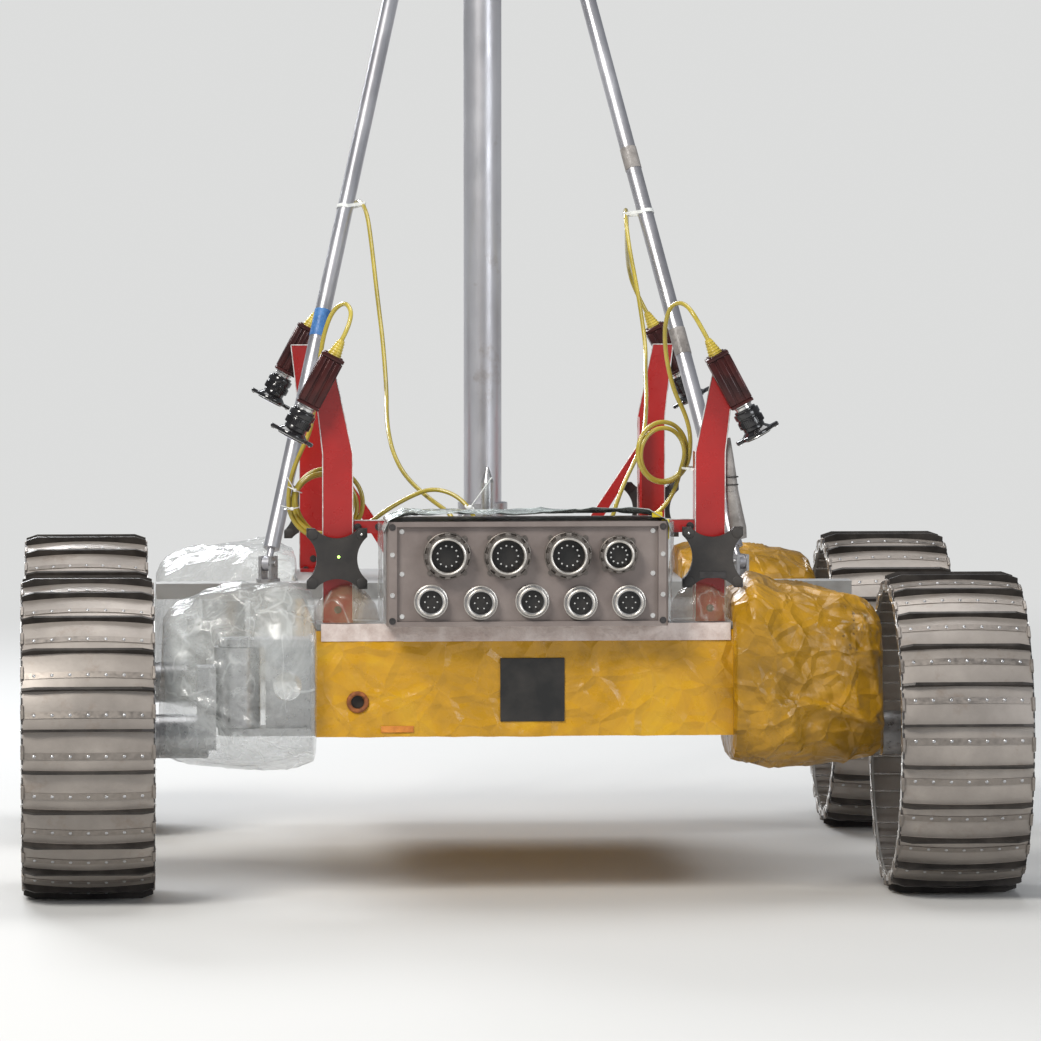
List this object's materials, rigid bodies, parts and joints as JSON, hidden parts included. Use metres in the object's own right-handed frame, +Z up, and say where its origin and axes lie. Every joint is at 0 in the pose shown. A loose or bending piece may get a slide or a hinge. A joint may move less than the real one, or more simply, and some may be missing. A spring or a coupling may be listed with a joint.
{
  "type": "planetary rover prototype",
  "caption": "Low rover test vehicle on grousered metal wheels with crab steering, a connector box, red camera posts, film covers and a braced mast.",
  "frame": {"origin": "on the floor below the middle of the wheelbase", "axes": "+X across the rover, +Z up, -Y the end with the connector box"},
  "size_m": [1.542, 1.4662, 2],
  "materials": {
    "amber_film": "creased amber polymer film, glossy",
    "clear_film": "crinkled clear polymer film",
    "deck_aluminium": "matt, dusty",
    "box_sheet": "plain sheet with scuffs",
    "connector_metal": "plated, satin",
    "red_paint": "red gloss paint, chipped edges",
    "bare_aluminium": "drawn tube, satin",
    "steel": "machined",
    "grey_paint": "grey, matt",
    "black_housing": "anodised, dark",
    "black_plastic": "moulded, matt",
    "yellow_jacket": "glossy cable jacket",
    "tread_skin": "sheet dulled by dust, riveted"
  },
  "bodies": {
    "root": {"chassis_tub": "amber_film", "deck_plate": "deck_aluminium", "connector_box": "box_sheet", "connector_panel": "box_sheet", "large_receptacles": "connector_metal", "small_receptacles": "connector_metal", "front_crossbars": "red_paint", "rear_struts": "red_paint", "mast": "bare_aluminium", "mast_foot": "bare_aluminium", "mast_collar": "bare_aluminium", "brace_left": "bare_aluminium", "brace_right": "bare_aluminium", "brace_clevises": "steel", "cross_beam": "bare_aluminium", "stub_post": "grey_paint", "post_fl": "red_paint", "camera_head_fl": "black_housing", "marker_pod_fl": "black_plastic", "arm_fl": "deck_aluminium", "inner_cover_fl": "clear_film", "post_fr": "red_paint", "camera_head_fr": "black_housing", "marker_pod_fr": "black_plastic", "arm_fr": "deck_aluminium", "inner_cover_fr": "amber_film", "post_rl": "red_paint", "camera_head_rl": "black_housing", "marker_pod_rl": "black_plastic", "arm_rl": "deck_aluminium", "inner_cover_rl": "clear_film", "post_rr": "red_paint", "camera_head_rr": "black_housing", "marker_pod_rr": "black_plastic", "arm_rr": "deck_aluminium", "inner_cover_rr": "amber_film", "cord_coil_fl": "yellow_jacket", "cord_upper_fl": "yellow_jacket", "cord_lower_fl": "yellow_jacket", "cord_coil_fr": "yellow_jacket", "cord_upper_fr": "yellow_jacket", "cord_lower_fr": "yellow_jacket", "cord_rl": "yellow_jacket", "cord_rr": "yellow_jacket"},
    "steer_fl": {"knuckle_fl": "steel", "outer_cover_fl": "clear_film"},
    "wheel_fl": {"wheel_drum_fl": "tread_skin", "wheel_hub_fl": "bare_aluminium"},
    "steer_fr": {"knuckle_fr": "steel", "outer_cover_fr": "amber_film"},
    "wheel_fr": {"wheel_drum_fr": "tread_skin", "wheel_hub_fr": "bare_aluminium"},
    "steer_rl": {"knuckle_rl": "steel", "outer_cover_rl": "clear_film"},
    "wheel_rl": {"wheel_drum_rl": "tread_skin", "wheel_hub_rl": "bare_aluminium"},
    "steer_rr": {"knuckle_rr": "steel", "outer_cover_rr": "amber_film"},
    "wheel_rr": {"wheel_drum_rr": "tread_skin", "wheel_hub_rr": "bare_aluminium"}
  },
  "joints": [
    {"name": "steering_fl", "type": "hinge", "parent": "root", "child": "steer_fl", "pos_m": [-0.44, -0.485, 0.325], "axis": [0, 0, 1], "range_deg": [-50, 50]},
    {"name": "steering_fr", "type": "hinge", "parent": "root", "child": "steer_fr", "pos_m": [0.44, -0.485, 0.325], "axis": [0, 0, 1], "range_deg": [-50, 50]},
    {"name": "steering_rl", "type": "hinge", "parent": "root", "child": "steer_rl", "pos_m": [-0.44, 0.485, 0.325], "axis": [0, 0, 1], "range_deg": [-50, 50]},
    {"name": "steering_rr", "type": "hinge", "parent": "root", "child": "steer_rr", "pos_m": [0.44, 0.485, 0.325], "axis": [0, 0, 1], "range_deg": [-50, 50]},
    {"name": "wheel_spin_fl", "type": "hinge", "parent": "steer_fl", "child": "wheel_fl", "pos_m": [-0.671, -0.485, 0.24812], "axis": [1, 0, 0], "continuous": true},
    {"name": "wheel_spin_fr", "type": "hinge", "parent": "steer_fr", "child": "wheel_fr", "pos_m": [0.671, -0.485, 0.24812], "axis": [1, 0, 0], "continuous": true},
    {"name": "wheel_spin_rl", "type": "hinge", "parent": "steer_rl", "child": "wheel_rl", "pos_m": [-0.671, 0.485, 0.24812], "axis": [1, 0, 0], "continuous": true},
    {"name": "wheel_spin_rr", "type": "hinge", "parent": "steer_rr", "child": "wheel_rr", "pos_m": [0.671, 0.485, 0.24812], "axis": [1, 0, 0], "continuous": true}
  ]
}
